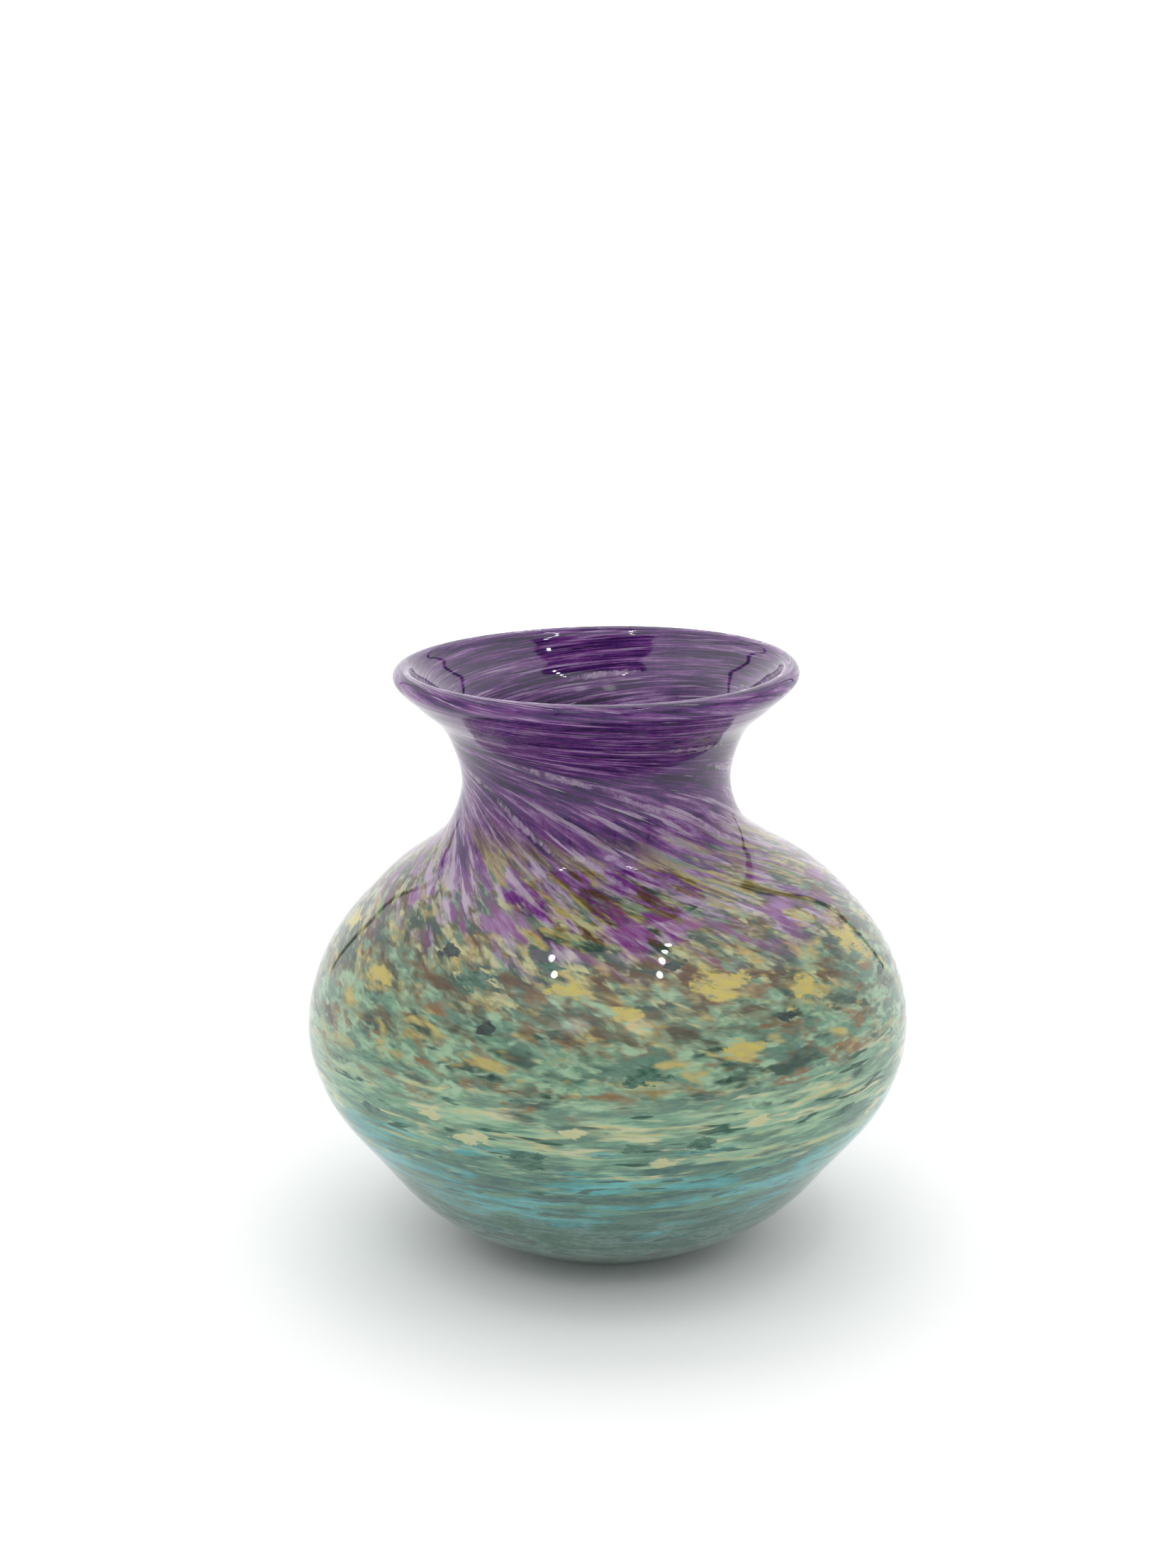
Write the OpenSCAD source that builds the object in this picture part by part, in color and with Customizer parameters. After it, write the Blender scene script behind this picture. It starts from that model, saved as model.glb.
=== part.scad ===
// Hand blown art glass vase with a round belly, a drawn-in neck and a flared, fire-polished lip.
// The wall is built up the way the glass was gathered. A clear first gather lines the inside,
// coats of coloured frit and larger chips lie on it, and a clear casing gather covers them.
// Origin: centre of the foot, on the table. +Z is the vase's axis, and -Y is its front.

/* [Belly] */
// Outside diameter at the widest place
belly_d = 190; // [175:1:200]
// Height of the widest place above the table
belly_z = 74; // [68:1:80]
// Outside diameter of the flat ring that the vase stands on
foot_d = 66; // [58:1:74]
// Width of that ring
foot_ring_w = 8; // [5:1:12]
// Height of the hollow inside the ring
foot_hollow = 1.5; // [1:0.5:3]
// Diameter of the polished dish where the punty was ground away
pontil_d = 24; // [16:1:30]
// Depth of that dish
pontil_depth = 1; // [0.5:0.5:1.5]

/* [Neck] */
// Outside diameter at the narrowest place
waist_d = 84; // [76:1:92]
// Height of the narrowest place
waist_z = 150.5; // [146:0.5:154]
// Outside diameter of the lip
lip_d = 125.4; // [116:0.2:132]
// Overall height
height = 185.7; // [182:0.1:190]

/* [Glass] */
// Thickness of the rounded lip
lip_t = 6.2; // [5:0.1:7]
// Wall thickness from the belly up to the waist
belly_wall = 4.8; // [4:0.1:6]
// Wall thickness beside the foot
foot_wall = 11; // [8:0.5:13]
// Thickness of the floor in the middle
floor_t = 11; // [9:0.5:13]
// Share of the wall that is coloured glass; the two clear gathers share the rest
frit_share = 0.16; // [0.12:0.01:0.24]

/* [Colour coats] */
// Height where grey glass gives way to turquoise
turquoise_from = 34; // [28:1:40]
// Height where turquoise gives way to straw
straw_from = 54; // [48:1:60]
// Height where straw gives way to celadon
celadon_from = 69; // [64:1:74]
// Height where celadon gives way to amber
amber_from = 98; // [92:1:104]
// Height where amber gives way to violet
violet_from = 121; // [117:1:126]

/* [Hidden] */
$fn = 96;

belly_r = belly_d / 2;
foot_r = foot_d / 2;
waist_r = waist_d / 2;
lip_r = lip_t / 2;
lip_centre = [lip_d / 2 - lip_r, height - lip_r];
// The wall leans out by this angle from the vertical where it runs into the round lip.
lip_lean = 35;
lip_join = lip_centre + lip_r * [cos(lip_lean), -sin(lip_lean)];
lip_slope = [sin(lip_lean), cos(lip_lean)];
// The base's extra thickness has faded out at this height.
foot_fade_z = 52;
// The coloured coat lies this far through the wall.
case_share = (1 - frit_share) / 2;
gather_share = case_share + frit_share;
// Straight pieces in each span of the outline
span_steps = 4;
// Straight pieces in the half circle round the lip
lip_steps = 12;
// Straight pieces in each curve of the base
base_steps = 8;

function unit(v) = v / norm(v);
function inward(v) = [-v[1], v[0]];
function between(a, b, out, up) = [a[0] + out * (b[0] - a[0]), a[1] + up * (b[1] - a[1])];
function hermite(a, b, ta, tb, t) =
    (2 * pow(t, 3) - 3 * t * t + 1) * a + (pow(t, 3) - 2 * t * t + t) * ta
    + (3 * t * t - 2 * pow(t, 3)) * b + (pow(t, 3) - t * t) * tb;

// Stations of the outside, from the foot ring to the lip: [radius, height].
foot_station = [foot_r, 0];
belly_station = [belly_r, belly_z];
waist_station = [waist_r, waist_z];
STATIONS = [
    foot_station,
    between(foot_station, belly_station, 0.42, 0.20),
    between(foot_station, belly_station, 0.69, 0.45),
    between(foot_station, belly_station, 0.93, 0.72),
    belly_station,
    between(belly_station, waist_station, 0.13, 0.29),
    between(belly_station, waist_station, 0.46, 0.56),
    between(belly_station, waist_station, 0.80, 0.725),
    between(belly_station, waist_station, 0.94, 0.83),
    waist_station,
    between(waist_station, lip_join, 0.24, 0.50),
    between(waist_station, lip_join, 0.70, 0.80),
    lip_join
];
last_station = len(STATIONS) - 1;

function station_slope(i) =
    i == 0 ? STATIONS[1] - STATIONS[0]
    : i == last_station ? norm(STATIONS[i] - STATIONS[i - 1]) * lip_slope
    : (STATIONS[i + 1] - STATIONS[i - 1]) / 2;

OUTSIDE = [
    for (i = [0 : last_station - 1])
        for (k = [0 : span_steps - 1])
            hermite(STATIONS[i], STATIONS[i + 1], station_slope(i), station_slope(i + 1), k / span_steps),
    lip_join
];
last = len(OUTSIDE) - 1;
// The layers part from the base's own curves here, at the first station above the foot.
base_end = span_steps;

function slope(i) =
    i == last ? lip_slope
    : unit(OUTSIDE[i + 1] - OUTSIDE[max(i - 1, 0)]);
function smooth(t) = t <= 0 ? 0 : t >= 1 ? 1 : t * t * (3 - 2 * t);
function wall(z) =
    belly_wall
    + (foot_wall - belly_wall) * pow(max(0, 1 - z / foot_fade_z), 2)
    + (lip_t - belly_wall) * smooth((z - waist_z) / (lip_join[1] - waist_z));

// A point inside the wall: share 0 is on the outside and share 1 is on the inside.
function in_wall(i, share) = OUTSIDE[i] + share * wall(OUTSIDE[i][1]) * inward(slope(i));
function layer(from, to, share) =
    [for (i = [from : to > from ? 1 : -1 : to]) in_wall(i, share)];
function floor_z(share) = foot_hollow + pontil_depth + share * floor_t;
// From the middle of the floor out to where the layer starts up the wall
function base_curve(share) =
    let (end = in_wall(base_end, share))
    [for (k = [0 : base_steps - 1])
        hermite([0, floor_z(share)], end, [end[0], 0], end[0] * slope(base_end), k / base_steps)];
function reversed(list) = [for (i = [len(list) - 1 : -1 : 0]) list[i]];
function without_first(list) = [for (i = [1 : len(list) - 1]) list[i]];
function arc(centre, r, from, to, steps) =
    [for (k = [0 : steps])
        let (a = from + (to - from) * k / steps)
            centre + r * [cos(a), sin(a)]];

// The first point of the outside that is at or above a height
function index_at(z) = min([for (i = [0 : last]) if (OUTSIDE[i][1] >= z) i]);

// The lip is a half circle from lip_join over the top. The colour ends in a rounded edge inside it.
lip_top = 90 - lip_lean;
lip_in = 180 - lip_lean;
frit_tip_r = frit_share * lip_t / 2;
tip_steps = 3;

// Underside: polished pontil dish, shallow hollow, then the flat ring
ring_in_r = foot_r - foot_ring_w;
pontil_r = pontil_d / 2;
UNDERSIDE = [
    [0, foot_hollow + pontil_depth],
    [pontil_r * 0.6, foot_hollow + pontil_depth * 0.7],
    [pontil_r, foot_hollow],
    [ring_in_r - 2 * foot_hollow, foot_hollow],
    [ring_in_r, 0]
];

// The outer gather, from the foot up to the top of the lip
module clear_casing() {
    color([0.90, 0.95, 0.95, 0.3])
        rotate_extrude()
            polygon(concat(
                UNDERSIDE,
                layer(0, last, 0),
                without_first(arc(lip_centre, lip_r, -lip_lean, lip_top, lip_steps / 2)),
                arc(lip_centre, frit_tip_r, lip_top, -lip_lean, tip_steps),
                without_first(layer(last, base_end, case_share)),
                reversed(base_curve(case_share))
            ));
}

// The inner gather, from the floor up to the top of the lip
module first_gather() {
    color([0.92, 0.95, 0.97, 0.3])
        rotate_extrude()
            polygon(concat(
                base_curve(gather_share),
                layer(base_end, last, gather_share),
                without_first(arc(lip_centre, frit_tip_r, lip_in, lip_top, tip_steps)),
                arc(lip_centre, lip_r, lip_top, lip_in, lip_steps / 2),
                without_first(layer(last, base_end, 1)),
                reversed(base_curve(1))
            ));
}

// The coloured coat between two heights
module coat(from_z, to_z) {
    from = index_at(from_z);
    to = index_at(to_z);
    rotate_extrude()
        polygon(concat(layer(from, to, case_share), layer(to, from, gather_share)));
}

// The coloured coat from a height up to its rounded edge inside the lip
module coat_to_lip(from_z) {
    from = index_at(from_z);
    rotate_extrude()
        polygon(concat(
            layer(from, last, case_share),
            without_first(arc(lip_centre, frit_tip_r, -lip_lean, lip_in, 2 * tip_steps)),
            without_first(layer(last, from, gather_share))
        ));
}

// The coloured coat from the middle of the floor up to a height
module coat_from_floor(to_z) {
    to = index_at(to_z);
    rotate_extrude()
        polygon(concat(
            base_curve(case_share),
            layer(base_end, to, case_share),
            layer(to, base_end, gather_share),
            reversed(base_curve(gather_share))
        ));
}

// Chips and shards that kept their own outline in the coloured coat. Each row is the angle round
// from the front toward +X, the height, the width round the vase and the length up the wall.
GOLD = [
    [24, 104, 17, 9], [25, 88, 14, 4], [-9, 102, 12, 6], [3, 98, 9, 4], [44, 101, 9, 9],
    [68, 103, 15, 8], [-54, 99, 13, 4], [-82, 104, 15, 8], [98, 90, 14, 6], [124, 103, 12, 7],
    [152, 96, 16, 6], [-166, 103, 12, 8], [-140, 90, 15, 5], [-112, 101, 12, 7]
];
MAGENTA = [
    [6, 120, 14, 6], [19, 119, 12, 5], [-29, 118, 13, 7], [51, 120, 13, 6], [84, 118, 12, 6],
    [118, 120, 14, 7], [150, 117, 12, 6], [-174, 120, 14, 6], [-138, 118, 13, 6], [-100, 120, 14, 7],
    [-62, 119, 11, 5]
];
SLATE = [
    [37, 92, 9, 4], [-39, 111, 8, 8], [14, 111, 9, 6], [-24, 91, 8, 4], [72, 93, 9, 4],
    [108, 110, 9, 6], [139, 88, 8, 4], [-158, 110, 9, 6], [-122, 94, 9, 4], [-90, 90, 8, 4]
];
FOREST = [
    [-29, 106, 14, 7], [-13, 111, 9, 6], [6, 80, 14, 6], [-15, 58, 14, 7], [4, 63, 11, 4],
    [17, 60, 12, 5], [48, 62, 12, 5], [83, 78, 13, 5], [92, 59, 12, 5], [133, 61, 14, 5],
    [168, 79, 13, 5], [-176, 59, 13, 6], [-131, 62, 12, 5], [-104, 77, 13, 5], [-78, 59, 13, 5],
    [-48, 62, 12, 4]
];
CREAM = [
    [-25, 59, 14, 5], [-7, 65, 10, 3], [9, 57, 10, 3], [27, 64, 11, 3], [-34, 65, 12, 3],
    [60, 58, 12, 4], [74, 65, 11, 3], [110, 60, 13, 4], [148, 65, 12, 3], [175, 66, 10, 3],
    [-155, 57, 13, 4], [-118, 58, 12, 4], [-95, 66, 11, 3], [-62, 57, 12, 4]
];
// Streaks drawn out round the neck, wound up it at the golden angle so that none touch
streak_count = 20;
streak_turn = 137.5;
streak_from = 132;
streak_pitch = 2;
streak_length = 34;
streak_w = 1.8;
// Slant of the lowest and of the highest streak
steep_slant = -24;
flat_slant = -5;
// Depth of the cutters, enough to reach through the coat where it curves away
chip_reach = 8;
streak_reach = 24;
function streak_z(i) = streak_from + streak_pitch * i;

// Places a flat outline on the coloured coat and makes a cutter of it, square to the wall
module on_coat(angle, z, reach) {
    i = index_at(z);
    centre = in_wall(i, 0.5);
    lean = atan2(slope(i)[0], slope(i)[1]);
    rotate([0, 0, angle])
        translate([0, -centre[0], centre[1]])
            rotate([90 + lean, 0, 0])
                linear_extrude(height = reach, center = true)
                    children();
}

// An irregular eight-sided outline; the seed moves its corners
module chip_outline(w, h, seed) {
    polygon([
        for (k = [0 : 7])
            let (a = 45 * k + 12 * sin(97 * k + 61 * seed))
            let (size = 0.44 + 0.09 * sin(131 * k + 47 * seed))
                size * [w * cos(a), h * sin(a)]
    ]);
}

// A spindle with pointed ends
module streak_outline(length, w) {
    polygon([
        for (side = [1, -1])
            for (t = [-1 : 0.5 : 0.5])
                side * [length * t / 2, w * (t * t - 1) / 2]
    ]);
}

// Cutters for those chips of a list that reach into a band of heights
module chip_cutters(chips, from_z, to_z) {
    for (i = [0 : len(chips) - 1])
        if (chips[i][1] + chips[i][3] > from_z && chips[i][1] - chips[i][3] < to_z)
            on_coat(chips[i][0], chips[i][1], chip_reach)
                chip_outline(chips[i][2], chips[i][3], i);
}

module streak_cutters() {
    for (i = [0 : streak_count - 1])
        on_coat(i * streak_turn, streak_z(i), streak_reach)
            rotate(steep_slant + (flat_slant - steep_slant) * i / (streak_count - 1))
                streak_outline(streak_length, streak_w);
}

// The places of all chips in a band, cut out of its coat
module without_chips(from_z, to_z) {
    difference() {
        children();
        chip_cutters(GOLD, from_z, to_z);
        chip_cutters(MAGENTA, from_z, to_z);
        chip_cutters(SLATE, from_z, to_z);
        chip_cutters(FOREST, from_z, to_z);
        chip_cutters(CREAM, from_z, to_z);
    }
}

// The chips of one list, as thick as the coat
module chips_in_coat(chips) {
    from_z = min([for (c = chips) c[1] - c[3]]);
    to_z = max([for (c = chips) c[1] + c[3]]);
    intersection() {
        coat(from_z, to_z);
        chip_cutters(chips, from_z, to_z);
    }
}

module violet_neck_frit() {
    color([0.34, 0.17, 0.40])
        difference() {
            coat_to_lip(violet_from);
            chip_cutters(MAGENTA, violet_from, height);
            streak_cutters();
        }
}

module amber_shoulder_frit() {
    color([0.62, 0.55, 0.24])
        without_chips(amber_from, violet_from)
            coat(amber_from, violet_from);
}

module celadon_belly_frit() {
    color([0.45, 0.57, 0.48])
        without_chips(celadon_from, amber_from)
            coat(celadon_from, amber_from);
}

module straw_band_frit() {
    color([0.67, 0.71, 0.52])
        without_chips(straw_from, celadon_from)
            coat(straw_from, celadon_from);
}

module turquoise_band_frit() {
    color([0.36, 0.63, 0.66])
        without_chips(turquoise_from, straw_from)
            coat(turquoise_from, straw_from);
}

module smoke_foot_frit() {
    color([0.38, 0.48, 0.47])
        coat_from_floor(turquoise_from);
}

module gold_chips() {
    color([0.80, 0.66, 0.22])
        chips_in_coat(GOLD);
}

module magenta_chips() {
    color([0.50, 0.20, 0.47])
        chips_in_coat(MAGENTA);
}

module slate_chips() {
    color([0.22, 0.25, 0.31])
        chips_in_coat(SLATE);
}

module forest_shards() {
    color([0.20, 0.33, 0.29])
        chips_in_coat(FOREST);
}

module cream_shards() {
    color([0.83, 0.80, 0.58])
        chips_in_coat(CREAM);
}

module lavender_streaks() {
    color([0.78, 0.68, 0.84])
        intersection() {
            coat_to_lip(violet_from);
            streak_cutters();
        }
}

clear_casing();
first_gather();
violet_neck_frit();
amber_shoulder_frit();
celadon_belly_frit();
straw_band_frit();
turquoise_band_frit();
smoke_foot_frit();
gold_chips();
magenta_chips();
slate_chips();
forest_shards();
cream_shards();
lavender_streaks();
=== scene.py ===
"""The looks of a hand blown art glass vase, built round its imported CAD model.

The clear glass is one smooth body, because the outer and the first gather are fire polished into
each other over the lip. The coats of coloured frit lie inside it, and so do the chips and streaks.
Colours are procedural. Their patterns are drawn in flow coordinates, which each vertex carries:
they wind round the vase and stretch as the glass was drawn out and turned.
"""

import math
from collections import defaultdict

import bpy
import numpy as np
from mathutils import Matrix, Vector


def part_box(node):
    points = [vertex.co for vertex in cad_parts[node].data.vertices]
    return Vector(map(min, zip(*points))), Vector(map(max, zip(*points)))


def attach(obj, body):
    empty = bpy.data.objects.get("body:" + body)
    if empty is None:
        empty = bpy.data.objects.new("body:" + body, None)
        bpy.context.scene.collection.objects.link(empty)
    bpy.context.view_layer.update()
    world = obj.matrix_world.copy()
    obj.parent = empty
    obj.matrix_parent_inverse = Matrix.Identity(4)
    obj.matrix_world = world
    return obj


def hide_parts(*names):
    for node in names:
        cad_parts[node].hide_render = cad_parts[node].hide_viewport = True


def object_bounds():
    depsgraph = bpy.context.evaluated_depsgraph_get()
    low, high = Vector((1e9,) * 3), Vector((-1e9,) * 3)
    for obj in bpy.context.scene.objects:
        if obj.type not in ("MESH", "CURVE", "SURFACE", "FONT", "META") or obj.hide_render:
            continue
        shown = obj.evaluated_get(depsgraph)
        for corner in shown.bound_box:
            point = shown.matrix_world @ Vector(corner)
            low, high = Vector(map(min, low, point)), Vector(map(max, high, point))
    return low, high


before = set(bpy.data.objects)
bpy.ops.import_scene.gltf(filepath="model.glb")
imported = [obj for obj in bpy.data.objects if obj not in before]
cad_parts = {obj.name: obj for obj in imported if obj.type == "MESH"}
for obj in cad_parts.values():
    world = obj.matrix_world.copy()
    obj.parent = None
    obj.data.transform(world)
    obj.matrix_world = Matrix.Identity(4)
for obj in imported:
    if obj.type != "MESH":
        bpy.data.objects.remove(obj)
cad_low, cad_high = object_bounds()

MM = 0.001
belly_d = cad_high.x - cad_low.x
height = cad_high.z
lip_t = 6.2 / 190 * belly_d

# ---------------------------------------------------------------- sections read from the CAD

TURNS = 224  # points round the vase
SUB = 3  # points in each span between two rings of the CAD
FINE = 8  # parts that each step of the coat's inner face is cut into, to pair it with the outer
DIGITS = 6  # decimals kept of a length in metres
SAME_RING = 0.05 * MM  # rings nearer to each other than this are one
ON_AXIS = 0.1 * MM  # a ring smaller than this lies on the axis
SLIGHT_TURN = math.radians(0.25)  # a path that turns less than this is straight
SHARP_TURN = math.radians(26)  # a path that turns more than this has a corner
EDGE_ROUND = 1.2 * MM  # how far a corner of the clear glass is rounded to each side
EDGE_SHARE = 0.4  # and at most this share of the way to the next point
EDGE_POINTS = 5


def smooth(t):
    """A smooth step: 0 up to 0, and 1 from 1."""
    t = np.clip(t, 0, 1)
    return t * t * (3 - 2 * t)


def rings_of(mesh):
    """The radius and height of each ring of a turned mesh, and the ring that each vertex is on."""
    rings = []
    known = {}
    owner = []
    for v in mesh.vertices:
        spot = (round(math.hypot(v.co.x, v.co.y), DIGITS), round(v.co.z, DIGITS))
        if spot not in known:
            near = [i for i, ring in enumerate(rings) if math.dist(ring, spot) < SAME_RING]
            if not near:
                rings.append(spot)
            known[spot] = near[0] if near else len(rings) - 1
        owner.append(known[spot])
    return rings, owner


def section(node):
    """A turned node's outline in the half plane, in order from its lower point on the axis."""
    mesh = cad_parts[node].data
    rings, owner = rings_of(mesh)
    beside = defaultdict(set)
    for edge in mesh.edges:
        a, b = (owner[i] for i in edge.vertices)
        if a != b:
            beside[a].add(b)
            beside[b].add(a)
    here = min((i for i in beside if rings[i][0] < ON_AXIS), key=lambda i: rings[i][1])
    path = [here]
    while ahead := beside[here] - set(path):
        here = min(ahead, key=lambda i: math.dist(rings[i], rings[here]))
        path.append(here)
    return without_straights(np.array([rings[i] for i in path]))


def turn(a, b, c):
    """How far a path turns at b, in radians."""
    first = math.atan2(*(b - a))
    second = math.atan2(*(c - b))
    return abs((second - first + math.pi) % (2 * math.pi) - math.pi)


def without_straights(path):
    """The path with only its ends and the points where it turns."""
    inner = [b for a, b, c in zip(path, path[1:], path[2:]) if turn(a, b, c) > SLIGHT_TURN]
    return np.array([path[0], *inner, path[-1]])


def slope(points, k, chord, corner):
    """The slope of a curve at point k, as long as the chord of the span it is wanted for."""
    if corner[k]:
        return chord
    across = points[k + 1] - points[k - 1]
    return across * np.linalg.norm(chord) / np.linalg.norm(across)


def hermite(a, b, leaving, arriving, t):
    """The point at t, from 0 to 1, on a curve from a to b with these slopes."""
    return (
        (2 * t**3 - 3 * t**2 + 1) * a
        + (t**3 - 2 * t**2 + t) * leaving
        + (3 * t**2 - 2 * t**3) * b
        + (t**3 - t**2) * arriving
    )


def curve(points):
    """A smooth path through the points, with corners left at its ends and at the sharp turns."""
    last = len(points) - 1
    corner = [k in (0, last) or turn(*points[k - 1:k + 2]) > SHARP_TURN for k in range(last + 1)]
    path = []
    for k, (a, b) in enumerate(zip(points, points[1:])):
        leaving = slope(points, k, b - a, corner)
        arriving = slope(points, k + 1, b - a, corner)
        path += [hermite(a, b, leaving, arriving, t) for t in np.arange(SUB) / SUB]
    return np.array([*path, points[-1]])


def rounded(points):
    """The points with each sharp corner replaced by a small round edge."""
    out = [points[0]]
    for a, b, c in zip(points, points[1:], points[2:]):
        if turn(a, b, c) <= SHARP_TURN:
            out.append(b)
            continue
        start = b + (a - b) * min(EDGE_SHARE, EDGE_ROUND / math.dist(a, b))
        end = b + (c - b) * min(EDGE_SHARE, EDGE_ROUND / math.dist(b, c))
        for t in np.linspace(0, 1, EDGE_POINTS):
            out.append((1 - t) ** 2 * start + 2 * t * (1 - t) * b + t**2 * end)
    return np.array([*out, points[-1]])


def distances(path):
    """How far along the path each point is."""
    return np.concatenate([[0], np.cumsum(np.linalg.norm(np.diff(path, axis=0), axis=1))])


def sunk(points, toward, depth):
    """The points moved this far toward another."""
    way = toward - points
    return points + way / np.linalg.norm(way, axis=-1, keepdims=True) * depth


casing = section("clear_casing")
gather = section("first_gather")
seam = int(casing[:, 1].argmax())
seam_in_gather = int(np.linalg.norm(gather - casing[seam], axis=1).argmin())

# The whole outside and inside of the clear glass, from under the foot to the middle of the floor
skin = curve(rounded(np.array([*casing[:seam + 1], *gather[seam_in_gather + 1:]])))

# Both faces of the coloured coat, from the middle of the floor up into the lip: each point of the
# outer face is paired with the nearest of the inner face
coat_out = curve(casing[:seam:-1])
inner_path = curve(gather[:seam_in_gather])
inner_face = np.concatenate([
    a + np.outer(np.arange(FINE) / FINE, b - a) for a, b in zip(inner_path, inner_path[1:])
])
apart = np.linalg.norm(coat_out[:, None] - inner_face[None], axis=2)
coat_in = inner_face[np.maximum.accumulate(apart.argmin(axis=1))]

# In the lip the colour was drawn up into the rounded edge, close under the surface
SKIN_T = 0.35 * MM  # clear glass over the colour there
thickening = 3 * lip_t  # how far below its tip the coat starts to thicken
tip_t = 0.8 * lip_t  # the way round the edge from the coat's outer face to its inner face
tip_out = np.array([0.15, 0.3]) * lip_t  # where the rounded tip's points are along that way
tip_in = np.array([0.6, 0.45]) * lip_t
lip_middle = gather[gather[:, 1].argmax()] - (0, lip_t / 2)
edge_path = curve(gather[seam_in_gather:])
edge_at = distances(edge_path)


def in_edge(u):
    """A point under the surface, this far from the seam over the lip and down inside it."""
    on_edge = np.stack([np.interp(u, edge_at, edge_path[:, k]) for k in (0, 1)], axis=-1)
    return sunk(on_edge, lip_middle, SKIN_T)


from_tip = distances(coat_out)[-1] - distances(coat_out)
drawn_up = smooth(1 - from_tip / thickening)[:, None]
coat_in = coat_in + (in_edge(from_tip + tip_t) - coat_in) * drawn_up
coat_out[-1] = sunk(coat_out[-1], lip_middle, SKIN_T)
coat_out = np.concatenate([coat_out, in_edge(tip_out)])
coat_in = np.concatenate([coat_in, in_edge(tip_in)])

# A place along the coat is the number of one of its points, or a fraction between two of them
places = np.arange(len(coat_out))
length = distances(coat_out)
height_share = coat_out[:, 1] / height


def span_of(node):
    """The first and last point of the coat that a zone of it covers."""
    low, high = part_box(node)
    first = int(abs(np.minimum(coat_out[:, 1], coat_in[:, 1]) - low.z).argmin())
    last = int(abs(np.maximum(coat_out[:, 1], coat_in[:, 1]) - high.z).argmin())
    if high.z > height - lip_t / 2:
        last = len(coat_out) - 1
    return first, last


# ---------------------------------------------------------------- the vase as made by hand

NECK_BASE = 0.60 * height  # the neck leans over from here
NECK_TOP = 0.76 * height  # up to here
NECK_LEAN = -3.8 * MM  # and so sits this far to the left of the belly
LOW_LEAN = -0.7 * MM  # the lower body sits a little to the left too
LOW_TOP = 0.35 * height  # up to here
TRUE_FOOT = 0.08 * height  # the foot is true at the floor, and hand made from here up
LIP_TILT = 0.011  # the lip falls by this much a metre to the left
LIP_WAVE = 0.4 * MM  # and waves twice round
OVAL = 0.004  # share that the radius grows and shrinks by, twice round
OVAL_TOP = height / 3  # from here up
RIPPLE = 0.1 * MM  # depth of the ripples that wind up the vase
RIPPLE_TWIST = 41  # radians that they wind by in a metre
RIPPLE_RATE = 160  # radians that they rise and fall by in a metre


def placed(angle, r, z):
    """Points at angles round from the front toward +X, at radii r and heights z.

    The plain angles in it only keep its waves out of step.
    """
    neck = smooth((z - NECK_BASE) / (NECK_TOP - NECK_BASE))
    low = smooth(1 - z / LOW_TOP)
    off_floor = smooth(z / TRUE_FOOT)
    oval = 1 + OVAL * np.cos(2 * angle + 0.8) * smooth(z / OVAL_TOP)
    ripple = RIPPLE * np.sin(3 * angle + RIPPLE_TWIST * z) * np.sin(RIPPLE_RATE * z + 1.3 * np.cos(angle))
    r = r * oval + ripple * off_floor
    x = r * np.sin(angle) + NECK_LEAN * neck + LOW_LEAN * low * off_floor
    y = -r * np.cos(angle)
    tilt = LIP_TILT * x + LIP_WAVE * np.cos(2 * angle + 2)
    return np.stack([x, y, z + tilt * neck], axis=-1)


# ---------------------------------------------------------------- flow of the colours

# By share of the vase's height: slant of the drawn-out streaks below the horizontal, in degrees
SLANTS = [(0.00, 52), (0.66, 46), (0.72, 40), (0.78, 32), (0.82, 22), (0.86, 13), (0.90, 7), (1.0, 4)]
# and how tall a patch of colour is, in mm: thin where the glass was stretched sideways
PATCHES = [(0.00, 8), (0.20, 4.5), (0.30, 3.0), (0.42, 3.2), (0.55, 5), (0.70, 6.5), (1.0, 6.5)]
STREAKS_ROUND = 5.2  # streaks in a radian round the neck
STREAK_RUN = 26 * MM  # length of a streak
PATCHES_ROUND = 9.5  # patches in a radian
PATCH_LEAN = 0.15  # how far they lean over, as a share of the way up
LEAN_FROM, LEAN_RISE = 0.4, 0.3  # height that the lean starts at and comes in over, also as shares
WOUND_FROM = 0.5 * height  # streaks wind round the vase from here up
LEAST_R = 20 * MM  # streaks wind no faster than at this radius

slant = np.radians(np.interp(height_share, *zip(*SLANTS)))
patch_h = np.interp(height_share, *zip(*PATCHES)) * MM
radius = np.maximum(coat_out[:, 0], LEAST_R)
step = np.gradient(length)
wind = np.cumsum(step / (radius * np.tan(slant)) * (coat_out[:, 1] > WOUND_FROM))
streak_rise = np.cumsum(step / np.sin(slant)) / STREAK_RUN
patch_rise = np.cumsum(step / patch_h)
patch_lean = PATCH_LEAN * np.cumsum(step / radius) * smooth((height_share - LEAN_FROM) / LEAN_RISE)


def round_and_up(angle, per_radian, rise):
    """Coordinates that meet where the angle closes on itself."""
    return np.stack([per_radian * np.cos(angle), per_radian * np.sin(angle), rise], axis=-1)


def flow(angle, at):
    """What the material reads at these angles and places along the coat."""
    wound, leaned, streaks_up, patches_up, z = (
        np.interp(at, places, values)
        for values in (wind, patch_lean, streak_rise, patch_rise, coat_out[:, 1])
    )
    return {
        "streak": round_and_up(angle + wound, STREAKS_ROUND, streaks_up),
        "patches": round_and_up(angle + leaned, PATCHES_ROUND, patches_up),
        "rise": z / height,
    }


# ---------------------------------------------------------------- meshes

CREASE = math.radians(50)  # edges sharper than this are not shaded smooth


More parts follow.
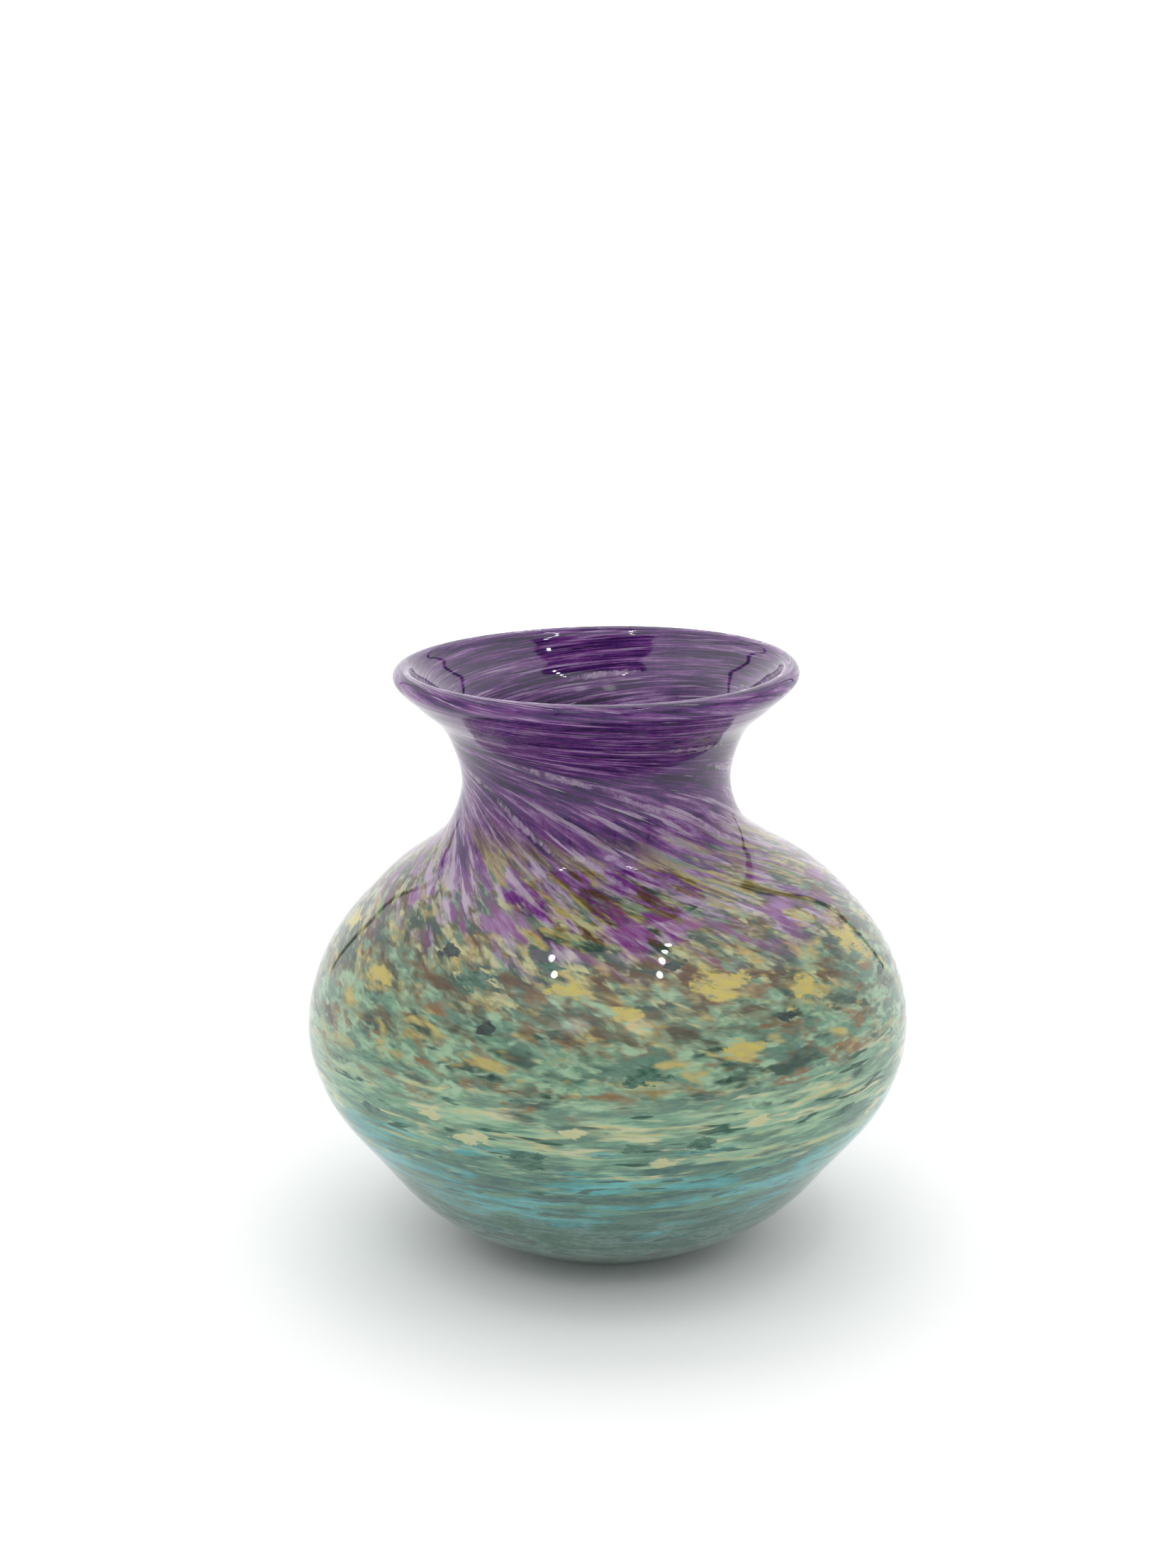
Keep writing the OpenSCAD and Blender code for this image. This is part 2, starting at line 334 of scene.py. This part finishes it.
def new_piece(name, points, faces, nodes, material):
    """A closed mesh of one material, in place of these nodes of the frame."""
    mesh = bpy.data.meshes.new(name)
    mesh.from_pydata(points.reshape(-1, 3).tolist(), [], faces)
    mesh.validate()
    mesh.shade_smooth()
    mesh.set_sharp_from_angle(angle=CREASE)
    mesh.materials.append(material)
    piece = bpy.data.objects.new(name, mesh)
    bpy.context.scene.collection.objects.link(piece)
    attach(piece, "root")
    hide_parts(*nodes)
    return piece


def carry(piece, values):
    """Stores named values or vectors for each vertex, for the material to read."""
    for name, numbers in values.items():
        vector = numbers.size == 3 * len(piece.data.vertices)
        layer = piece.data.attributes.new(name, "FLOAT_VECTOR" if vector else "FLOAT", "POINT")
        layer.data.foreach_set("vector" if vector else "value", numbers.ravel())


def turned(path):
    """Rows of points: a path turned round the vase, and the angle of each point."""
    angle = np.broadcast_to(np.arange(TURNS) * 2 * math.pi / TURNS, (len(path), TURNS))
    r = np.repeat(path[:, 0:1], TURNS, axis=1)
    z = np.repeat(path[:, 1:2], TURNS, axis=1)
    return placed(angle, r, z), angle


def turned_faces(rows, closed):
    """Quads between rows of TURNS points, the last row joined to the first if closed."""
    faces = []
    for i in range(rows if closed else rows - 1):
        a, b = i * TURNS, (i + 1) % rows * TURNS
        for k in range(TURNS):
            n = (k + 1) % TURNS
            faces.append((a + k, a + n, b + n, b + k))
    return faces


def capped(points):
    """Turned points with one more in the middle of each end, and the faces that they close."""
    rows = len(points)
    faces = turned_faces(rows, False)
    first, last = rows * TURNS, rows * TURNS + 1
    end = (rows - 1) * TURNS
    for k in range(TURNS):
        n = (k + 1) % TURNS
        faces.append((first, n, k))
        faces.append((last, end + k, end + n))
    centres = np.stack([points[0].mean(axis=0), points[-1].mean(axis=0)])
    return np.concatenate([points.reshape(-1, 3), centres]), faces


# ---------------------------------------------------------------- materials


class Graph:
    """Short hand for building one node tree."""

    def __init__(self, tree):
        self.tree = tree
        self.tree.nodes.clear()

    def add(self, kind, **values):
        """A new shader node of this kind."""
        node = self.tree.nodes.new("ShaderNode" + kind)
        for key, value in values.items():
            setattr(node, key, value)
        return node

    def join(self, value, socket):
        """Links a socket to another, or gives it a plain value."""
        if isinstance(value, bpy.types.NodeSocket):
            self.tree.links.new(value, socket)
        else:
            socket.default_value = value

    def attribute(self, name, vector=False):
        """A value or vector that each vertex carries."""
        node = self.add("Attribute", attribute_name=name, attribute_type="GEOMETRY")
        return node.outputs["Vector" if vector else "Fac"]

    def maths(self, what, a, b=0.0, c=0.0):
        """One sum on up to three values."""
        node = self.add("Math", operation=what)
        for value, socket in zip((a, b, c), node.inputs):
            self.join(value, socket)
        return node.outputs[0]

    def left(self, share):
        """What is left of 1 beside this share of it."""
        return self.maths("SUBTRACT", 1.0, share)

    def moved(self, vector, scale, shift=(0, 0, 0)):
        """The vector scaled and then shifted."""
        node = self.add("Mapping")
        self.join(vector, node.inputs["Vector"])
        node.inputs["Scale"].default_value = scale
        node.inputs["Location"].default_value = shift
        return node.outputs[0]

    def noise(self, vector, scale, detail=3.0, rough=0.55, warp=0.0):
        """Smooth noise, mostly between 0.3 and 0.7."""
        node = self.add("TexNoise")
        self.join(vector, node.inputs["Vector"])
        node.inputs["Scale"].default_value = scale
        node.inputs["Detail"].default_value = detail
        node.inputs["Roughness"].default_value = rough
        node.inputs["Distortion"].default_value = warp
        return node.outputs["Fac"]

    def ramp(self, value, *stops):
        """A colour that goes from stop to stop, each a level and its colour."""
        node = self.add("ValToRGB")
        self.join(value, node.inputs[0])
        elements = node.color_ramp.elements
        while len(elements) < len(stops):
            elements.new(0.5)
        for element, (at, colour) in zip(elements, stops):
            element.position = at
            element.color = (*colour, 1)
        return node.outputs["Color"]

    def fade(self, value, low, high):
        """0 below low and 1 above high, with a smooth step between."""
        node = self.add("MapRange", interpolation_type="SMOOTHSTEP")
        self.join(value, node.inputs["Value"])
        node.inputs["From Min"].default_value = low
        node.inputs["From Max"].default_value = high
        return node.outputs["Result"]

    def mix(self, share, a, b, blend="MIX"):
        """Colour a with this share of colour b laid over it."""
        node = self.add("Mix", data_type="RGBA", blend_type=blend)
        self.join(share, node.inputs[0])
        for value, socket in ((a, node.inputs[6]), (b, node.inputs[7])):  # its sockets for colours
            self.join(value if isinstance(value, bpy.types.NodeSocket) else (*value, 1), socket)
        return node.outputs[2]

    def blot_mask(self, vector, scale, level, shift, soft, detail=2.0):
        """1 in blots, where noise is above this level, and 0 between them."""
        spread = self.moved(vector, (1, 1, 1), (shift, 2 * shift, 3 * shift))
        return self.fade(self.noise(spread, scale, detail, warp=0.3), level - soft, level + soft)

    def blots(self, under, colour, vector, within=None, **look):
        """A colour with blots of another over it, faded out where within is low."""
        mask = self.blot_mask(vector, **look)
        if within is not None:
            mask = self.maths("MULTIPLY", mask, within)
        return self.mix(mask, under, colour)

    def output(self, shader):
        """Ends the graph with this shader node."""
        self.join(shader.outputs[0], self.add("OutputMaterial").inputs[0])


# Glass colours, linear
NIGHT_VIOLET = (0.045, 0.010, 0.110)
VIOLET = (0.150, 0.030, 0.300)
PLUM = (0.380, 0.100, 0.480)
LILAC = (0.600, 0.330, 0.720)
LAVENDER = (0.930, 0.760, 0.960)
MAGENTA = (0.420, 0.085, 0.370)
MUSTARD = (0.860, 0.700, 0.260)
STRAW = (0.900, 0.880, 0.480)
OLIVE = (0.330, 0.270, 0.090)
UMBER = (0.190, 0.100, 0.045)
RUST = (0.430, 0.250, 0.130)
GOLD = (0.940, 0.800, 0.200)
CELADON = (0.290, 0.560, 0.390)
PALE_CELADON = (0.580, 0.830, 0.580)
SEA = (0.200, 0.370, 0.285)
TEAL = (0.075, 0.150, 0.120)
SLATE = (0.040, 0.046, 0.065)
FOREST = (0.030, 0.150, 0.100)
CREAM = (0.950, 0.930, 0.600)
TURQUOISE = (0.150, 0.560, 0.570)
PALE_TURQUOISE = (0.300, 0.820, 0.820)
SMOKE = (0.120, 0.250, 0.230)
PALE_SMOKE = (0.360, 0.530, 0.480)
MAUVE = (0.340, 0.290, 0.290)
DARK_GRAIN = (0.25, 0.25, 0.25)
LIGHT_GRAIN = (0.80, 0.80, 0.80)


def neck_colour(g, streak, rise, threads):
    """Violet drawn out in long threads, with paler ones and, low down, a few of olive."""
    flare = g.fade(rise, 0.80, 0.87)
    low_neck = g.left(g.fade(rise, 0.69, 0.78))
    paler = g.maths("MULTIPLY", g.maths("SUBTRACT", low_neck, flare), 0.05)
    drift = g.noise(streak, 0.45, detail=1, rough=0.5)
    tone = g.maths("MULTIPLY_ADD", drift, 0.35, g.noise(streak, 1.5, detail=5, rough=0.62, warp=0.3))
    violet = g.ramp(
        g.maths("ADD", paler, tone),
        (0.50, NIGHT_VIOLET), (0.61, VIOLET), (0.70, PLUM), (0.77, LILAC), (0.86, LAVENDER),
    )
    pale = g.maths("ADD", paler, g.maths("MULTIPLY_ADD", drift, 0.30, threads))
    violet = g.mix(g.fade(pale, 0.70, 0.79), violet, LAVENDER)
    olive = g.ramp(threads, (0.38, UMBER), (0.46, OLIVE), (0.54, MUSTARD), (0.64, SEA))
    return g.blots(violet, olive, streak, low_neck, scale=1.3, level=0.53, shift=3, soft=0.04, detail=4)


def shoulder_colour(g, streak, rise, threads):
    """Mustard, umber, teal and celadon, still drawn out a little along the threads."""
    wound = g.moved(streak, (1.8, 1.8, 2.6), (5, 1, 0))
    colour = g.ramp(
        g.noise(wound, 1.0, detail=3, rough=0.6, warp=0.3),
        (0.38, UMBER), (0.46, OLIVE), (0.52, SEA), (0.59, CELADON), (0.67, STRAW),
    )
    fleck = g.ramp(threads, (0.44, CELADON), (0.56, STRAW))
    blush = g.ramp(threads, (0.42, MAGENTA), (0.50, PLUM), (0.58, LAVENDER))
    high = g.fade(rise, 0.56, 0.64)
    colour = g.blots(colour, MUSTARD, wound, scale=0.9, level=0.53, shift=2, soft=0.06)
    colour = g.blots(colour, STRAW, wound, scale=1.0, level=0.58, shift=6, soft=0.06)
    colour = g.blots(colour, UMBER, wound, scale=0.8, level=0.53, shift=4, soft=0.08, detail=3)
    colour = g.blots(colour, TEAL, wound, scale=0.9, level=0.53, shift=8, soft=0.08, detail=3)
    colour = g.blots(colour, fleck, wound, scale=1.6, level=0.59, shift=12, soft=0.08)
    return g.blots(colour, blush, streak, high, scale=1.5, level=0.55, shift=9, soft=0.08, detail=3)


def belly_colour(g, patches, rise):
    """Celadon with blots of teal, rust and gold."""
    colour = g.ramp(
        g.noise(patches, 0.8, detail=3, warp=0.3),
        (0.34, SEA), (0.45, CELADON), (0.55, PALE_CELADON), (0.62, CELADON), (0.70, STRAW),
    )
    middle = g.fade(rise, 0.38, 0.48)
    high = g.fade(rise, 0.44, 0.58)
    colour = g.blots(colour, SEA, patches, scale=0.55, level=0.54, shift=3, soft=0.08)
    colour = g.blots(colour, RUST, patches, scale=0.80, level=0.58, shift=5, soft=0.10)
    colour = g.blots(colour, TEAL, patches, scale=0.75, level=0.58, shift=7, soft=0.10)
    colour = g.blots(colour, MUSTARD, patches, middle, scale=0.65, level=0.61, shift=9, soft=0.07)
    colour = g.blots(colour, PALE_CELADON, patches, scale=1.2, level=0.60, shift=12, soft=0.09)
    return g.blots(colour, UMBER, patches, high, scale=0.8, level=0.55, shift=2, soft=0.09)


def straw_colour(g, flat):
    """Straw and celadon with cream, sea green and forest green."""
    colour = g.ramp(
        g.noise(flat, 0.9, detail=3, rough=0.6, warp=0.3),
        (0.32, SEA), (0.43, CELADON), (0.54, PALE_CELADON), (0.66, STRAW),
    )
    colour = g.blots(colour, CREAM, flat, scale=1.1, level=0.61, shift=4, soft=0.05)
    colour = g.blots(colour, SEA, flat, scale=1.0, level=0.58, shift=6, soft=0.08)
    return g.blots(colour, FOREST, flat, scale=1.3, level=0.63, shift=8, soft=0.04)


def turquoise_colour(g, flat):
    """Turquoise streaks with celadon and grey between."""
    colour = g.ramp(
        g.noise(flat, 0.45, detail=4, rough=0.6, warp=0.3),
        (0.36, SMOKE), (0.44, SEA), (0.50, TURQUOISE), (0.60, PALE_TURQUOISE), (0.72, TURQUOISE),
    )
    colour = g.blots(colour, CELADON, flat, scale=1.0, level=0.58, shift=3, soft=0.07, detail=4)
    return g.blots(colour, SMOKE, flat, scale=1.6, level=0.61, shift=5, soft=0.04, detail=4)


def smoke_colour(g, flat):
    """Grey-teal with a little mauve."""
    return g.ramp(
        g.noise(flat, 0.8, detail=5, rough=0.65, warp=0.3),
        (0.32, SMOKE), (0.46, SEA), (0.54, PALE_SMOKE), (0.60, SMOKE), (0.68, MAUVE),
    )


def coat_colour(g):
    """The coloured coat's pattern over the whole vase, from foot to lip."""
    streak = g.attribute("streak", True)
    patches = g.attribute("patches", True)
    rise = g.attribute("rise")
    threads = g.noise(g.moved(streak, (2.0, 2.0, 0.9), (7, 3, 1)), 1.0, detail=4, rough=0.6)
    flat = g.moved(patches, (0.42, 0.42, 1.0))  # below the belly all is drawn out round the vase

    # Each zone gives way to the next along a ragged edge, between these heights plus the noise
    edge = g.maths("MULTIPLY_ADD", g.noise(flat, 0.8, detail=4, rough=0.6), 0.30, rise)
    neck_edge = g.maths("MULTIPLY_ADD", g.noise(streak, 1.1, detail=5, rough=0.65), 0.45, rise)
    colour = smoke_colour(g, flat)
    for above, border, low, high in (
        (turquoise_colour(g, flat), edge, 0.29, 0.37),
        (straw_colour(g, flat), edge, 0.43, 0.48),
        (belly_colour(g, patches, rise), edge, 0.52, 0.59),
        (shoulder_colour(g, streak, rise, threads), edge, 0.66, 0.74),
        (neck_colour(g, streak, rise, threads), neck_edge, 0.875, 0.925),
    ):
        colour = g.mix(g.fade(border, low, high), colour, above)

    grain = g.ramp(g.noise(patches, 4.0, detail=2, rough=0.5), (0.35, DARK_GRAIN), (0.65, LIGHT_GRAIN))
    return g.mix(0.30, colour, grain, "SOFT_LIGHT")


def new_material(name):
    """A material and the graph that draws it."""
    material = bpy.data.materials.new(name)
    material.use_nodes = True
    return material, Graph(material.node_tree)


def surface(g, colour):
    """Dense coloured glass that takes its gloss from the clear glass over it."""
    shader = g.add("BsdfPrincipled")
    g.join(colour, shader.inputs["Base Color"])
    shader.inputs["Roughness"].default_value = 0.45
    shader.inputs["Specular IOR Level"].default_value = 0.0
    glow = g.add("BsdfTranslucent")
    g.join(colour, glow.inputs["Color"])
    # A share of 0.08 of the light comes through the belly, and 0.30 more through the neck
    through = g.maths("MULTIPLY_ADD", g.fade(g.attribute("rise"), 0.55, 0.85), 0.30, 0.08)
    both = g.add("MixShader")
    g.join(through, both.inputs[0])
    g.join(shader.outputs[0], both.inputs[1])
    g.join(glow.outputs[0], both.inputs[2])
    g.output(both)


def coat_material():
    """The one material of all the coat's zones."""
    material, g = new_material("frit_coat")
    surface(g, coat_colour(g))
    return material


def chip_material(name, dark, light, crisp, drawn_out=False):
    """A chip of one colour whose ragged edge melts into the coat; crisp is from 0 to 1."""
    material, g = new_material(name)
    base = coat_colour(g)
    grain = g.moved(g.attribute("streak", True), (2, 2, 1)) if drawn_out else g.attribute("patches", True)
    own = g.ramp(g.noise(grain, 2.6, detail=3, rough=0.6), (0.36, dark), (0.62, light))

    # How far a point is from the chip's edge, made ragged by noise and nothing at the edge itself
    inside = g.attribute("inside")
    noise = g.noise(grain, 1.7, detail=4, rough=0.65)
    ragged = g.maths("MULTIPLY_ADD", noise, 2.4, g.maths("SUBTRACT", inside, 1.2))
    reach = g.maths("MULTIPLY", ragged, g.fade(inside, 0.0, 0.2))
    edge = 0.42
    soft = 0.35 * (1 - crisp) + 0.03
    surface(g, g.mix(g.fade(reach, edge - soft, edge + soft), base, own))
    return material


def clear_material():
    """Clear glass, with the least tint of green."""
    material, g = new_material("clear_glass")
    shader = g.add("BsdfPrincipled")
    shader.inputs["Base Color"].default_value = (0.985, 0.995, 0.99, 1)
    shader.inputs["Roughness"].default_value = 0.0
    shader.inputs["IOR"].default_value = 1.5
    shader.inputs["Transmission Weight"].default_value = 1.0
    g.output(shader)
    return material


# ---------------------------------------------------------------- pieces

RINGS = 9  # rings of points in a chip's face
SPOKES = 40  # points in each ring
PROUD = 0.05 * MM  # how far a chip stands out of the coat on each side
STREAK_HALF_W = 1.5 * MM
# How far out each ring of points is, as a share of the way to the chip's edge
ring_at = np.concatenate([[0.02], np.linspace(0.12, 1, RINGS - 1)])[:, None]
spoke = np.arange(SPOKES) * 2 * math.pi / SPOKES


def clear_glass():
    """Both clear gathers as one body."""
    points, _ = turned(skin[1:-1])
    points, faces = capped(points)
    new_piece("clear_glass", points, faces, ["clear_casing", "first_gather"],
              clear_material())


def coat_zone(node, material):
    """One zone of the coat as a thin closed shell."""
    first, last = span_of(node)
    outer = np.arange(max(first, 1), last + 1)
    inner = outer[::-1]
    points, angle = turned(np.concatenate([coat_out[outer], coat_in[inner]]))
    at = np.repeat(np.concatenate([outer, inner])[:, None], TURNS, axis=1)
    if first == 0:  # the coat under the floor has a point on the axis in each face
        points, faces = capped(points)
        angle = np.append(angle, [0, 0])
        at = np.append(at, [0, 0])
    else:
        faces = turned_faces(len(points), True)
    piece = new_piece(node, points, faces, [node], material)
    carry(piece, flow(angle.ravel(), at.ravel()))


def solids_of(node):
    """The separate solids of a CAD node, each as an array of its corners."""
    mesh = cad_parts[node].data
    spots = [tuple(round(c, DIGITS) for c in v.co) for v in mesh.vertices]
    group = {spot: spot for spot in spots}

    def root(spot):
        while group[spot] != spot:
            group[spot] = group[group[spot]]
            spot = group[spot]
        return spot

    for edge in mesh.edges:
        a, b = (root(spots[i]) for i in edge.vertices)
        group[a] = b
    solids = defaultdict(list)
    for spot in group:
        solids[root(spot)].append(spot)
    return [np.array(sorted(s)) for _, s in sorted(solids.items())]


def nearest_place(r, z):
    """The place along the coat that is nearest to this radius and height."""
    return int(np.linalg.norm(coat_out - (r, z), axis=1).argmin())


def chip_extent(solid):
    """A chip's angle round the vase, its place along the coat, and half its width and height."""
    centre = solid.mean(axis=0)
    middle = math.atan2(centre[0], -centre[1])
    radii = np.hypot(solid[:, 0], solid[:, 1])
    across = solid @ np.array([math.cos(middle), math.sin(middle), 0])
    up = length[[nearest_place(r, z) for r, z in zip(radii, solid[:, 2])]]
    return middle, nearest_place(radii.mean(), centre[2]), np.ptp(across) / 2, np.ptp(up) / 2


def chip_outline(number, half_w, half_h, lean):
    """How far a chip's points lie from its middle, round the vase and up the coat."""
    wobble = 1 + 0.10 * np.sin(3 * spoke + number) + 0.07 * np.sin(5 * spoke + 2.3 * number)
    across = half_w * ring_at * (np.cos(spoke) * wobble)
    along = half_h * ring_at * (np.sin(spoke) * wobble)
    side = across * math.cos(lean) + along * math.sin(lean)
    up = along * math.cos(lean) - across * math.sin(lean)
    return side, up


def chip_points(angle, at):
    """A chip's outer and inner points, at these angles and places along the coat."""
    out_r, out_z, in_r, in_z = (np.interp(at, places, c) for c in (*coat_out.T, *coat_in.T))
    thick = np.hypot(out_r - in_r, out_z - in_z)
    step_r = (out_r - in_r) / thick * PROUD
    step_z = (out_z - in_z) / thick * PROUD
    outer = placed(angle, out_r + step_r, out_z + step_z)
    inner = placed(angle, in_r - step_r, in_z - step_z)
    return np.concatenate([outer.reshape(-1, 3), inner.reshape(-1, 3)])


def chip_faces(start):
    """Faces of the chip whose points begin here: its outer side, its inner side and its rim."""
    half = RINGS * SPOKES
    rim = half - SPOKES
    outer, edge = [], []
    for k in range(SPOKES):
        n = (k + 1) % SPOKES
        for a in range(0, rim, SPOKES):
            b = a + SPOKES
            outer.append((a + k, b + k, b + n, a + n))
        edge.append((rim + n, rim + k, half + rim + k, half + rim + n))
    outer.append(tuple(range(SPOKES)))
    inner = [tuple(half + v for v in reversed(face)) for face in outer]
    return [tuple(start + v for v in face) for face in outer + inner + edge]


def chips(node, material, widen, along_streaks=False):
    """A piece of chips that follow the coat: one for each solid of a node, made this much wider."""
    points, faces, carried = [], [], defaultdict(list)
    for number, solid in enumerate(solids_of(node)):
        middle, at, half_w, half_h = chip_extent(solid)
        half_h, lean = (STREAK_HALF_W, slant[at]) if along_streaks else (half_h * widen, 0.0)
        side, up = chip_outline(number, half_w * widen, half_h, lean)
        place = np.interp(length[at] + up, length, places)
        angle = middle + side / np.interp(place, places, coat_out[:, 0])
        faces += chip_faces(2 * RINGS * SPOKES * number)
        points.append(chip_points(angle, place))
        inside = np.broadcast_to(1 - ring_at, angle.shape)
        for name, values in {**flow(angle, place), "inside": inside}.items():
            face = values.reshape(RINGS * SPOKES, -1)
            carried[name] += [face, face]
    piece = new_piece(node, np.concatenate(points), faces, [node], material)
    carry(piece, {name: np.concatenate(values) for name, values in carried.items()})


clear_glass()
coat = coat_material()
for zone in (
    "violet_neck_frit", "amber_shoulder_frit", "celadon_belly_frit",
    "straw_band_frit", "turquoise_band_frit", "smoke_foot_frit",
):
    coat_zone(zone, coat)
chips("gold_chips", chip_material("gold_chip", MUSTARD, GOLD, 0.45), 1.6)
chips("magenta_chips", chip_material("magenta_chip", MAGENTA, LILAC, 0.2, True), 1.6)
chips("slate_chips", chip_material("slate_chip", SLATE, TEAL, 0.8), 1.4)
chips("forest_shards", chip_material("forest_shard", FOREST, SEA, 0.8), 1.4)
chips("cream_shards", chip_material("cream_shard", STRAW, CREAM, 0.8), 1.4)
chips("lavender_streaks", chip_material("lavender_streak", LILAC, LAVENDER, 0.3), 1.05, True)

# ---------------------------------------------------------------- floor, light and camera

FLOOR_SIZE = 40 * belly_d
CLOTH = (0.92, 0.92, 0.92, 1)
PAINTED_FLOOR_GLOW = 0.9  # strength of the painted glow on the floor cloth, which only the camera sees
PAINTED_GLOW_FROM = 1.0 * belly_d  # which comes in between these distances from the vase
PAINTED_GLOW_FULL = 2.6 * belly_d

TENT_BEHIND = 0.7  # how much more the tent glows behind the vase than round the camera
TENT_OVERHEAD = 1.0  # and how much more again overhead
BACKDROP = 1.1  # strength of the white that the camera itself sees
# Lines in the cloth: degrees round from the front, the heights they fade out between, and depth
TENT_LINES = [(azimuth, 0.40, 0.55, 0.85) for azimuth in (-43, -21, 17, 45)]
TENT_LINES += [(azimuth, 0.80, 0.95, 0.90) for azimuth in (-142, 142)]
LINE_HALF_W = (0.010, 0.028)  # sines of the angles to the ends of a line's core and of its soft edge
SOFTBOX = 3.0  # strength of the two soft lights beside the opening
LAMP = 26.0  # strength of the small lamps


def stage_floor():
    """White cloth, with a painted glow away from the vase that only the camera sees."""
    bpy.ops.mesh.primitive_plane_add(size=FLOOR_SIZE)
    floor = bpy.context.object
    floor.name = "floor"
    material, g = new_material("floor")
    cloth = g.add("BsdfDiffuse")
    cloth.inputs["Color"].default_value = CLOTH
    away = g.add("VectorMath", operation="LENGTH")
    g.join(g.add("TexCoord").outputs["Object"], away.inputs[0])
    # painted light: emission that only the camera sees, so the floor looks brighter away from the vase
    glow = g.add("Emission")
    strength = g.maths("MULTIPLY", g.fade(away.outputs["Value"], PAINTED_GLOW_FROM, PAINTED_GLOW_FULL), PAINTED_FLOOR_GLOW)
    camera_only = g.maths("MULTIPLY", strength, g.add("LightPath").outputs["Is Camera Ray"])
    g.join(camera_only, glow.inputs["Strength"])
    both = g.add("AddShader")
    g.join(cloth.outputs[0], both.inputs[0])
    g.join(glow.outputs[0], both.inputs[1])
    g.output(both)
    floor.data.materials.append(material)


class Tent(Graph):
    """The world's graph, with masks drawn in the direction that light comes from."""

    def __init__(self, tree):
        super().__init__(tree)
        self.way = self.add("TexCoord").outputs["Generated"]
        axes = self.add("SeparateXYZ")
        self.join(self.way, axes.inputs[0])
        self.x, self.y, self.z = axes.outputs

    def along(self, direction):
        """How far the way looked in lies along a direction, from -1 to 1."""
        node = self.add("VectorMath", operation="DOT_PRODUCT")
        self.join(self.way, node.inputs[0])
        node.inputs[1].default_value = direction
        return node.outputs["Value"]

    def disc(self, direction, size, soft):
        """1 within this many degrees of the direction, fading out over the next few."""
        near, far = math.cos(math.radians(size)), math.cos(math.radians(size + soft))
        return self.fade(self.along(Vector(direction).normalized()), far, near)

    def oval(self, wide, deep, middle):
        """1 in an oval overhead, reaching this far to each side and this far to front and back."""
        across = self.maths("DIVIDE", self.x, wide)
        back = self.maths("DIVIDE", self.maths("SUBTRACT", self.y, middle), deep)
        out = self.maths("ADD", self.maths("POWER", across, 2.0), self.maths("POWER", back, 2.0))
        return self.maths("MULTIPLY", self.left(self.fade(out, 0.9, 1.1)), self.fade(self.z, 0.0, 0.1))

    def line(self, azimuth, low, high):
        """1 along an upright line at this azimuth from the front, up to a height."""
        a = math.radians(azimuth)
        aside = self.maths("ABSOLUTE", self.along((math.cos(a), math.sin(a), 0)))
        facing = self.fade(self.along((math.sin(a), -math.cos(a), 0)), 0.0, 0.1)
        below = self.left(self.fade(self.z, low, high))
        thin = self.left(self.fade(aside, *LINE_HALF_W))
        return self.maths("MULTIPLY", thin, self.maths("MULTIPLY", facing, below))

    def cloth(self):
        """The glow of the tent's cloth, less its opening overhead, its front flap and its lines."""
        light = self.maths("MULTIPLY_ADD", self.fade(self.y, -0.1, 0.9), TENT_BEHIND, 1.0)
        light = self.maths("MULTIPLY_ADD", self.fade(self.z, 0.45, 0.85), TENT_OVERHEAD, light)
        opening = self.maths("MULTIPLY", self.oval(0.40, 0.16, -0.085), 0.95)
        flap = self.maths("MULTIPLY", self.disc((0, -1, 0.25), 20, 2), 0.20)
        shade = self.maths("MAXIMUM", opening, flap)
        for azimuth, low, high, depth in TENT_LINES:
            line = self.maths("MULTIPLY", self.line(azimuth, low, high), depth)
            shade = self.maths("MAXIMUM", shade, line)
        return self.maths("MULTIPLY", light, self.left(shade))

    def lamps(self, light):
        """The light with a soft light and a row of small lamps added on each side of the opening."""
        for side, count in ((-1, 2), (1, 4)):
            soft_light = self.disc((side * 0.18, -0.67, 0.70), 3.5, 2.5)
            light = self.maths("MULTIPLY_ADD", soft_light, SOFTBOX, light)
            for k in range(count):
                spot = (side * (0.275 + 0.008 * k), -0.32 + 0.07 * k, 0.91 + 0.01 * k)
                light = self.maths("MULTIPLY_ADD", self.disc(spot, 0.9, 0.3), LAMP, light)
        return light


def light_tent():
    """A white tent as the world. The camera itself sees plain white."""
    world = bpy.data.worlds.new("tent")
    bpy.context.scene.world = world
    world.use_nodes = True
    tent = Tent(world.node_tree)
    shader = tent.add("Background")
    tent.join(tent.lamps(tent.cloth()), shader.inputs["Strength"])
    plain = tent.add("Background")
    plain.inputs["Color"].default_value = (1, 1, 1, 1)
    plain.inputs["Strength"].default_value = BACKDROP
    pick = tent.add("MixShader")
    tent.join(tent.add("LightPath").outputs["Is Camera Ray"], pick.inputs[0])
    tent.join(shader.outputs[0], pick.inputs[1])
    tent.join(plain.outputs[0], pick.inputs[2])
    tent.join(pick.outputs[0], tent.add("OutputWorld").inputs[0])


def camera():
    """The camera that took the photo, looking down a little from in front."""
    data = bpy.data.cameras.new("camera")
    data.lens = 57.9
    data.sensor_width = 36
    seen = bpy.data.objects.new("camera", data)
    bpy.context.scene.collection.objects.link(seen)
    bpy.context.scene.camera = seen
    seen.location = (-0.033 * belly_d, -4.0 * belly_d, 1.8 * belly_d)
    looking_down = math.radians(14.39)
    seen.rotation_euler = (math.radians(90) - looking_down, 0, 0)


stage_floor()
light_tent()
camera()
bpy.context.scene.view_settings.view_transform = "Standard"
